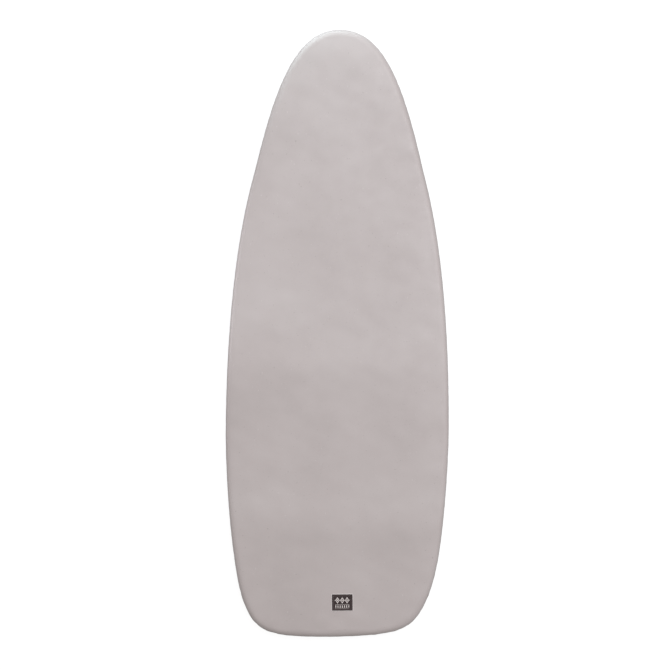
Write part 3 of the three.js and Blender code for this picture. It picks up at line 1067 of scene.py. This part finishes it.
# Cord lock: barrel, plunger with its button, and spring
lock = dict(
    wall=0.0014,
    corner=0.0032,
    edge=0.0008,
    softened=0.0002,
    slotHeight=0.0034,
    slotCorner=0.0006,
    cutEdge=0.0001,
    cutPast=0.01,
    plungerGap=0.0003,
    plungerEdge=0.0003,
    plungerSoftened=0.00015,
    buttonHead=0.0026,
    leastCorner=0.0002,
    collarWidth=0.0016,
    collarRise=0.0003,
    collarEdge=0.00005,
    grooves=3,
    firstGroove=0.0022,
    groovePitch=0.0013,
    grooveWidth=0.0007,
    grooveDepth=0.0003,
    # the dished end for the thumb: share of its depth, and how far inside the rim
    dish=((0.2, 0.0006), (0.8, 0.0012), (1, 0.0020)),
    dishDepth=0.0006,
    steps=10,
    barrelColour=(44, 42, 42),
    buttonColour=(60, 57, 56),
)
buttonLow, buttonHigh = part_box("cord_lock_button")
lockCentre = (lockLow + lockHigh) / 2


def plasticMaterial(name, colour):
    material, tree = startMaterial(name, Specular_IOR_Level=0.45)
    place = objectPlace(tree)
    grain = noise(tree, place, 2600)
    worn = mottled(tree, place, 0.0, 0.35, 240, 3, within=(0.4, 0.75))
    paint = mixColour(tree, worn, shade(*colour), lighter(colour, 26))
    roughness = ramp(tree, grain, 0.3, 0.7, 0.3, 0.44)
    return finishMaterial(material, grain, paint, roughness, strength=0.35, distance=0.00003)


def roundedLoop(halfWidth, halfHeight, corner, steps):
    points = []
    for k, (sx, sy) in enumerate(((1, 1), (-1, 1), (-1, -1), (1, -1))):
        centre = np.array([sx * (halfWidth - corner), sy * (halfHeight - corner)])
        for i in range(steps + 1):
            a = math.pi / 2 * (k + i / steps)
            points.append(centre + corner * np.array([math.cos(a), math.sin(a)]))
    return np.array(points)


def barAlongX(name, profile, depth, height, corner, *materials):
    # a bar with rounded long edges, centred on the strands
    rings = []
    for x, drawn in profile:
        rounding = max(corner - drawn, lock["leastCorner"])
        loop = roundedLoop(depth / 2 - drawn, height / 2 - drawn, rounding, lock["steps"])
        rings.append(np.insert(loop + (lockCentre.y, strandHeight), 0, x, 1))
    faces = cappedFaces(len(rings), len(rings[0]))
    return faceOutwards(meshPiece(name, np.concatenate(rings), faces, None, materials))


def groove(x):
    half, body = lock["grooveWidth"] / 2, lock["collarRise"]
    floor = body + lock["grooveDepth"]
    return [(x - half, body), (x - half * 0.5, floor), (x + half * 0.5, floor), (x + half, body)]


def barrelProfile():
    # domed closed end, three grip grooves and a collar round the mouth
    body, collar = lock["collarRise"], lockHigh.x - lock["collarWidth"]
    ends = roundedEnds(lockLow.x, lockHigh.x, lock["edge"])
    half = len(ends) // 2
    profile = [(x, drawn + body) for x, drawn in ends[:half]]
    for k in range(lock["grooves"]):
        profile += groove(lockLow.x + lock["firstGroove"] + k * lock["groovePitch"])
    return [*profile, (collar - body, body), (collar, lock["collarEdge"]), *ends[half:]]


def headProfile():
    # the button's head: a groove round it and a dished end
    left, right = buttonHigh.x - lock["buttonHead"], buttonHigh.x
    ends = roundedEnds(left, right, lock["edge"])
    waist = [(x, drawn - lock["collarRise"]) for x, drawn in groove((left + right) / 2)]
    dish = [(right - share * lock["dishDepth"], lock["edge"] + inside) for share, inside in lock["dish"]]
    half = len(ends) // 2
    return [*ends[:half], *waist, *ends[half:], *dish]


def cutWith(piece, tool, operation="DIFFERENCE"):
    finishWith(piece, "BOOLEAN", operation=operation, object=tool, solver="EXACT")
    bpy.data.objects.remove(tool)


def softenEdges(piece, width, angle=math.radians(35)):
    finishWith(piece, "BEVEL", width=width, segments=2, limit_method="ANGLE", angle_limit=angle)
    piece.data.set_sharp_from_angle(angle=angle)


def cutSlot(piece, left, right):
    # for the two strands, right through
    ends = roundedEnds(left, right, lock["cutEdge"])
    depth = 2 * (lockHigh.y - lockLow.y)
    cutWith(piece, barAlongX("slot", ends, depth, lock["slotHeight"], lock["slotCorner"]))


def makeLock():
    depth, height = lockHigh.y - lockLow.y, lockHigh.z - lockLow.z
    boreDepth, boreHeight = depth - 2 * lock["wall"], height - 2 * lock["wall"]
    boreCorner = lock["corner"] - lock["wall"]
    # the slot is as wide as both strands and the button's travel
    travel = next(joint for joint in frame["joints"] if joint["name"] == "button_press")["range_m"][1]
    slotRight = strandOffset + tunnelInner
    slotLeft = -slotRight - travel
    barrelPlastic = plasticMaterial("barrel_plastic", lock["barrelColour"])
    body = barAlongX("lock_barrel", barrelProfile(), depth, height, lock["corner"], barrelPlastic)
    boreEnds = roundedEnds(lockLow.x + lock["wall"], lockHigh.x + lock["cutPast"], lock["cutEdge"])
    cutWith(body, barAlongX("bore", boreEnds, boreDepth, boreHeight, boreCorner))
    cutSlot(body, slotLeft, slotRight)
    softenEdges(body, lock["softened"])

    gap = lock["plungerGap"]
    underHead = buttonHigh.x - lock["buttonHead"] + lock["edge"]
    shankEnds = roundedEnds(buttonLow.x, underHead, lock["plungerEdge"])
    shank = (boreDepth - 2 * gap, boreHeight - 2 * gap, boreCorner - gap)
    buttonPlastic = plasticMaterial("button_plastic", lock["buttonColour"])
    button = barAlongX("lock_plunger", shankEnds, *shank, buttonPlastic)
    headDepth, headHeight = buttonHigh.y - buttonLow.y, buttonHigh.z - buttonLow.z
    cutWith(button, barAlongX("head", headProfile(), headDepth, headHeight, lock["corner"]), "UNION")
    cutSlot(button, -slotRight, -slotLeft)
    softenEdges(button, lock["plungerSoftened"])
    return body, button


lockBody, lockButton = makeLock()
print("cord lock made")

# Spring: a steel coil between the barrel's closed end and the plunger
spring = dict(
    wire=0.0005,
    turns=3.5,
    sides=10,
    perTurn=28,
    left=0.48,
    colours=((176, 178, 180), (206, 208, 210)),
)


def startGeometryTree(name, result, **inputs):
    tree = bpy.data.node_groups.new(name, "GeometryNodeTree")
    for socket, kind in inputs.items():
        tree.interface.new_socket(socket, in_out="INPUT", socket_type="NodeSocket" + kind)
    tree.interface.new_socket(result, in_out="OUTPUT", socket_type="NodeSocketGeometry")
    return tree, tree.nodes.new("NodeGroupInput").outputs


def finishGeometryTree(tree, result, material):
    real = addNode(tree, "GeometryNodeRealizeInstances", {0: result}).outputs[0]
    smooth = addNode(tree, "GeometryNodeSetShadeSmooth", {0: real}).outputs[0]
    finished = addNode(tree, "GeometryNodeSetMaterial", {"Geometry": smooth, "Material": material})
    addNode(tree, "NodeGroupOutput", {0: finished.outputs[0]})
    return tree


def springTree():
    sockets = dict(Coil="Float", Wire="Float", Turns="Float", Length="Float", Foot="Vector", Steel="Material")
    tree, given = startGeometryTree("coil_spring", "Spring", **sockets)
    inputs = {"Resolution": spring["perTurn"], "Rotations": given["Turns"], "Height": given["Length"]}
    inputs.update({"Start Radius": given["Coil"], "End Radius": given["Coil"]})
    helix = addNode(tree, "GeometryNodeCurveSpiral", inputs).outputs[0]
    half = times(tree, given["Wire"], 0.5)
    ring = addNode(tree, "GeometryNodeCurvePrimitiveCircle", {"Resolution": spring["sides"], "Radius": half})
    inputs = {0: helix, "Profile Curve": ring.outputs[0], "Fill Caps": True}
    wire = addNode(tree, "GeometryNodeCurveToMesh", inputs)
    inputs = {"Geometry": wire.outputs[0], "Translation": given["Foot"], "Rotation": (0, math.pi / 2, 0)}
    laid = addNode(tree, "GeometryNodeTransform", inputs).outputs[0]
    return finishGeometryTree(tree, laid, given["Steel"])


def makeSpring():
    low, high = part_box("cord_lock_spring")
    wire, middle = spring["wire"], (low + high) / 2
    colours = [shade(*colour) for colour in spring["colours"]]
    look = dict(gloss=(0.25, 0.4), strength=0.2, distance=0.00001, Metallic=1.0)
    coil = growFrom(
        meshPiece("lock_spring", [(0, 0, 0)], []),
        springTree(),
        Coil=(high.z - low.z - wire) / 2,
        Wire=wire,
        Turns=spring["turns"],
        Length=high.x - low.x - wire,
        Foot=(low.x + wire / 2, middle.y, middle.z),
        Steel=grainyMaterial("spring_steel", colours, (3000, 2), **look),
    )
    return faceOutwards(coil), low


springCoil, springFoot = makeSpring()
print("spring made:", len(springCoil.data.polygons), "faces")

# Sewn label: a small woven patch with a plain ornament
label = dict(
    turn=math.radians(1.0),
    bow=0.0015,
    corner=0.0012,
    leastCorner=0.0003,
    cornerSteps=6,
    border=0.0013,
    frameInset=0.0026,
    frameWidth=0.0005,
    frameCorners=(0.0006, 0.0004),
    sunk=0.00018,
    raised=0.00012,
    rooted=0.0001,
    threadPitch=0.0004,
    colour=(40, 26, 26),
    frameColour=(92, 80, 78),
    motifColour=(206, 197, 193),
)
# A row of lozenges with small ones between, over a row of bars between two rules
motif = dict(
    lozenge=(0.0082, 0.0124),
    hole=0.62,
    heart=0.3,
    pitch=0.0098,
    between=(0.0015, 0.0022),
    height=0.0048,
    rule=(0.029, 0.0004),
    ruleHeights=(-0.0036, -0.0109),
    bar=(0.0016, 0.0044),
    barPitch=0.0044,
    barHeight=-0.00725,
)
labelLow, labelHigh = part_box("sewn_label")
labelCentre, labelHalf = (labelLow + labelHigh) / 2, (labelHigh - labelLow) / 2


def labelMaterial(name, colour, threads):
    material, tree = startMaterial(name, Roughness=0.78, Sheen_Weight=0.1)
    uv = uvPlace(tree)
    height = weaveHeight(tree, uv, label["threadPitch"])
    share = ramp(tree, times(tree, height, noise(tree, uv, 900)), 0.1, 0.6, 0.0, 1.0)
    paint = mixColour(tree, share, shade(*colour), lighter(colour, threads))
    return finishMaterial(material, height, paint, strength=0.6, distance=0.00008)


def loopAt(loop, height):
    return np.column_stack([loop, np.full(len(loop), height)])


def slabFrom(loop, low, high):
    # a flat shape with straight walls
    vertices = np.concatenate([loopAt(loop, z) for z in (low, high)])
    return vertices, cappedFaces(2, len(loop)), vertices[:, :2]


def ringFrom(outer, inner, low, high):
    # a flat closed band between two loops of equal count
    count = len(outer)
    loops = ((outer, low), (outer, high), (inner, high), (inner, low))
    vertices = np.concatenate([loopAt(*loop) for loop in loops])
    faces = [face for k in range(4) for face in bandFaces(k * count, (k + 1) % 4 * count, count)]
    return vertices, faces, vertices[:, :2]


def lozenge(x, y, width, height):
    return np.array([(x + width / 2, y), (x, y + height / 2), (x - width / 2, y), (x, y - height / 2)])


def block(x, y, width, height):
    corners = ((1, -1), (1, 1), (-1, 1), (-1, -1))
    return np.array([(x + sx * width / 2, y + sy * height / 2) for sx, sy in corners])


def placeLabel(vertices):
    # a touch askew, its lower edge bowed, on the padding's soft unevenness
    c, s = math.cos(label["turn"]), math.sin(label["turn"])
    x, y, height = vertices.T
    y = y - label["bow"] * (1 - (x / labelHalf.x) ** 2) * (1 - y / labelHalf.y) / 2
    x, y = labelCentre.x + c * x - s * y, labelCentre.y + s * x + c * y
    return np.column_stack([x, y, labelLow.z + height + dents(x, y)])


def labelLoop(drawn, corner, steps=label["cornerSteps"]):
    return roundedLoop(labelHalf.x - drawn, labelHalf.y - drawn, corner, steps)


def labelGround(rise):
    border = label["border"]
    profile = (  # drawn in from the edge, and height
        (0.0003, 0.0),
        (0.00005, 0.2 * rise),
        (0.0, 0.5 * rise),
        (0.0001, 0.8 * rise),
        (0.0004, 0.97 * rise),
        (border * 0.7, rise),
        (border, 0.95 * rise),
        (border + 0.0003, 0.8 * rise),
        (border + 0.0007, 0.72 * rise),
        (label["frameInset"] - 0.0002, rise - label["sunk"]),
    )
    rings = []
    for drawn, height in profile:
        corner = max(label["corner"] - drawn, label["leastCorner"])
        rings.append(loopAt(labelLoop(drawn, corner), height))
    ground = np.concatenate(rings)
    return ground, cappedFaces(len(rings), len(rings[0])), ground[:, :2]


def labelMotif(low, high):
    y, pitch = motif["height"], motif["pitch"]
    width, height = motif["lozenge"]
    parts = []
    for k in (-1, 0, 1):
        shares = (1, motif["hole"], motif["heart"])
        outer, hole, heart = (lozenge(k * pitch, y, width * share, height * share) for share in shares)
        parts += [ringFrom(outer, hole, low, high), slabFrom(heart, low, high)]
    shapes = [lozenge(k * pitch, y, *motif["between"]) for k in (-1.5, -0.5, 0.5, 1.5)]
    shapes += [block(0, place, *motif["rule"]) for place in motif["ruleHeights"]]
    shapes += [block(k * motif["barPitch"], motif["barHeight"], *motif["bar"]) for k in range(-3, 4)]
    return joinParts(parts + [slabFrom(shape, low, high) for shape in shapes])


def makeLabelPiece(name, part, material, smooth=False):
    vertices, faces, uv = part
    piece = faceOutwards(meshPiece(name, placeLabel(vertices), faces, uv, (material,)))
    piece.data.polygons.foreach_set("use_smooth", np.full(len(piece.data.polygons), smooth))
    return piece


def makeLabel():
    rise = labelHigh.z - labelLow.z
    flat = rise - label["sunk"]
    low, high = flat - label["rooted"], flat + label["raised"]
    insets = (label["frameInset"], label["frameInset"] + label["frameWidth"])
    frameLine = ringFrom(*(labelLoop(*place) for place in zip(insets, label["frameCorners"])), low, high)
    cloth = labelMaterial("label_ground", label["colour"], 14)
    frameThread = labelMaterial("label_frame_thread", label["frameColour"], 20)
    motifThread = labelMaterial("label_motif_thread", label["motifColour"], 24)
    return (
        makeLabelPiece("label_patch", labelGround(rise), cloth, smooth=True),
        makeLabelPiece("label_frame", frameLine, frameThread),
        makeLabelPiece("label_motif", labelMotif(low, high), motifThread),
    )


labelPatch, labelFrame, labelOrnament = makeLabel()
print("label made")

# Stitches: short raised threads along a line, made by one geometry tree
stitches = dict(
    binding=dict(pitch=0.0032, length=0.0026, radius=0.00028, colour=(186, 180, 176)),
    label=dict(pitch=0.00062, length=0.0009, radius=0.0006, colour=(218, 212, 210)),
    seamIn=0.0016,
    proud=0.00005,
    outside=0.7,
)


def stitchTree():
    sockets = dict(Line="Geometry", Pitch="Float", Length="Float", Radius="Float", Thread="Material")
    tree, given = startGeometryTree("stitch_row", "Stitches", **sockets)
    line = addNode(tree, "GeometryNodeMeshToCurve", {"Mesh": given["Line"]}).outputs[0]
    inputs = {"Curve": line, "Length": given["Pitch"]}
    spaced = addNode(tree, "GeometryNodeResampleCurve", inputs, mode="LENGTH")
    tangent = addNode(tree, "GeometryNodeInputTangent").outputs[0]
    turned = addNode(tree, "FunctionNodeAlignRotationToVector", {"Vector": tangent}, axis="X").outputs[0]
    stitch = addNode(tree, "GeometryNodeMeshUVSphere", {"Segments": 6, "Rings": 5, "Radius": 1.0}).outputs[0]
    inputs = {0: times(tree, given["Length"], 0.5), 1: given["Radius"], 2: given["Radius"]}
    size = addNode(tree, "ShaderNodeCombineXYZ", inputs).outputs[0]
    inputs = {"Points": spaced.outputs[0], "Instance": stitch, "Rotation": turned, "Scale": size}
    placed = addNode(tree, "GeometryNodeInstanceOnPoints", inputs).outputs[0]
    return finishGeometryTree(tree, placed, given["Thread"])


stitchRow = stitchTree()


def sewAlong(name, lines, kind, closed):
    look = stitches[kind]
    edges, offset = [], 0
    for line in lines:
        edges += [(offset + i, offset + i + 1) for i in range(len(line) - 1)]
        if closed:
            edges.append((offset + len(line) - 1, offset))
        offset += len(line)
    colours = (shade(*look["colour"]), lighter(look["colour"], 30))
    finish = dict(strength=0.4, distance=0.00005, Roughness=0.65)
    thread = grainyMaterial(name + "_thread", colours, (5000, 1), **finish)
    row = meshPiece(name, np.concatenate(lines), [], edges=edges)
    sizes = dict(Pitch=look["pitch"], Length=look["length"], Radius=look["radius"])
    return growFrom(row, stitchRow, Thread=thread, **sizes)


def makeStitches():
    seam = cover["hemTurn"] - binding["overlap"] + stitches["seamIn"]
    ply = cover["cloth"] / 2 + binding["gap"] + binding["tape"] + stitches["proud"]
    lines = [swayed(tapePoint(seam, side * ply)[bound[3:-3]]) for side in (-1, 1)]
    half = stationCount // 2
    mouth = np.roll(ringAt(seam, hemHeight + foldHeight(seam) - cover["cloth"] / 2), half, 0)
    lines.append(swayed(mouth[half - bound[0] : half + bound[0]]))
    outside = stitches["outside"] * stitches["label"]["radius"]
    edge = placeLabel(loopAt(labelLoop(-outside, label["corner"], 3), 0))
    seams = sewAlong("binding_stitches", lines, "binding", False)
    return seams, sewAlong("label_stitches", [edge], "label", True)


bindingSeam, labelSeam = makeStitches()
print("stitches made:", len(bindingSeam.data.polygons) + len(labelSeam.data.polygons), "faces")

# Floor and light
studio = dict(
    world=0.709,
    worldColour=(1, 0.966, 0.952, 1),
    worldFalloff=0.56,
    brightSide=(0.40, 0.92, 0),
    floorColour=(0.2, 0.2, 0.2, 1),
    floorGlow=0.88,
    floorBounce=0.16,
    floorSize=30.0,
    floorHeight=-0.0002,
)
lights = dict(
    # where it stands, what it is aimed at, size, power and colour
    above=((1.15, 1.02, 2.67), (0, 0, 0), (2.0, 2.0), 42.0, (0.86, 0.93, 1)),
    nose=((-0.14, 0.92, 0.12), (0.0, 0.60, 0.02), (0.6, 0.16), 1.65, (0.76, 0.95, 1)),
    flank=((-0.80, 0.18, 0.20), (-0.15, 0.14, 0.02), (0.6, 0.2), 1.5, (0.88, 0.93, 1)),
)


def makeWorld():
    # soft all-round light, brighter from the nose's side than from the tail's
    world = bpy.data.worlds.new("studio")
    world.use_nodes = True
    tree = world.node_tree
    inputs = {0: addNode(tree, "ShaderNodeTexCoord").outputs["Generated"], 1: studio["brightSide"]}
    facing = addNode(tree, "ShaderNodeVectorMath", inputs, operation="DOT_PRODUCT").outputs["Value"]
    falloff = studio["world"] * studio["worldFalloff"]
    strength = ramp(tree, facing, -1.0, 1.0, studio["world"] - falloff, studio["world"] + falloff)
    tree.nodes["Background"].inputs["Color"].default_value = studio["worldColour"]
    tree.links.new(strength, tree.nodes["Background"].inputs["Strength"])
    bpy.context.scene.world = world


def makeFloor():
    # a white floor that throws only a little light back up at the hem
    sockets = dict(Roughness=0.9, Base_Color=studio["floorColour"], Emission_Color=(1, 1, 1, 1))
    material, tree = startMaterial("pale_floor", **sockets)
    seen = addNode(tree, "ShaderNodeLightPath").outputs["Is Camera Ray"]
    glow = ramp(tree, seen, 0, 1, studio["floorBounce"], studio["floorGlow"])
    tree.links.new(glow, tree.nodes["Principled BSDF"].inputs["Emission Strength"])
    corners = block(0, 0, studio["floorSize"], studio["floorSize"])
    meshPiece("floor", loopAt(corners, studio["floorHeight"]), [[0, 1, 2, 3]], None, (material,))


def makeLight(name, place, aim, size, power, colour):
    lamp = bpy.data.lights.new(name, "AREA")
    lamp.shape = "RECTANGLE"
    lamp.size, lamp.size_y = size
    lamp.energy = power
    lamp.color = colour
    holder = bpy.data.objects.new(name, lamp)
    holder.location = place
    way = Vector(aim) - Vector(place)
    holder.rotation_euler = way.to_track_quat("-Z", "Y").to_euler()
    holder.visible_camera = False
    bpy.context.collection.objects.link(holder)


makeFloor()
makeWorld()
for name, light in lights.items():
    makeLight(name, *light)
bpy.context.scene.view_settings.view_transform = "Standard"
bpy.context.scene.view_settings.look = "None"
print("studio made")

# What each piece stands for, rides on and is made of; what it is made of is listed but not used
for piece, body, slot, nodes in (
    (faceSkin, "cover", "face_cloth", ("face_cloth",)),
    (foam, "cover", "foam", ("foam_layer",)),
    (felt, "cover", "felt", ("felt_underlay",)),
    (bindingTape, "cover", "binding_tape", ("hem_binding",)),
    (bindingSeam, "cover", "binding_tape", ()),
    (cord, "cover", "cord", ("draw_cord", "cord_knot")),
    (lockBody, "cord_lock", "lock_plastic", ("cord_lock_body",)),
    (springCoil, "cord_lock", "spring_steel", ("cord_lock_spring",)),
    (lockButton, "lock_button", "button_plastic", ("cord_lock_button",)),
    (labelPatch, "cover", "label_cloth", ("sewn_label",)),
    (labelFrame, "cover", "label_cloth", ()),
    (labelOrnament, "cover", "label_cloth", ()),
    (labelSeam, "cover", "label_cloth", ()),
):
    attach(piece, body)
    if nodes:
        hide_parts(*nodes)
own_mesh(springCoil)
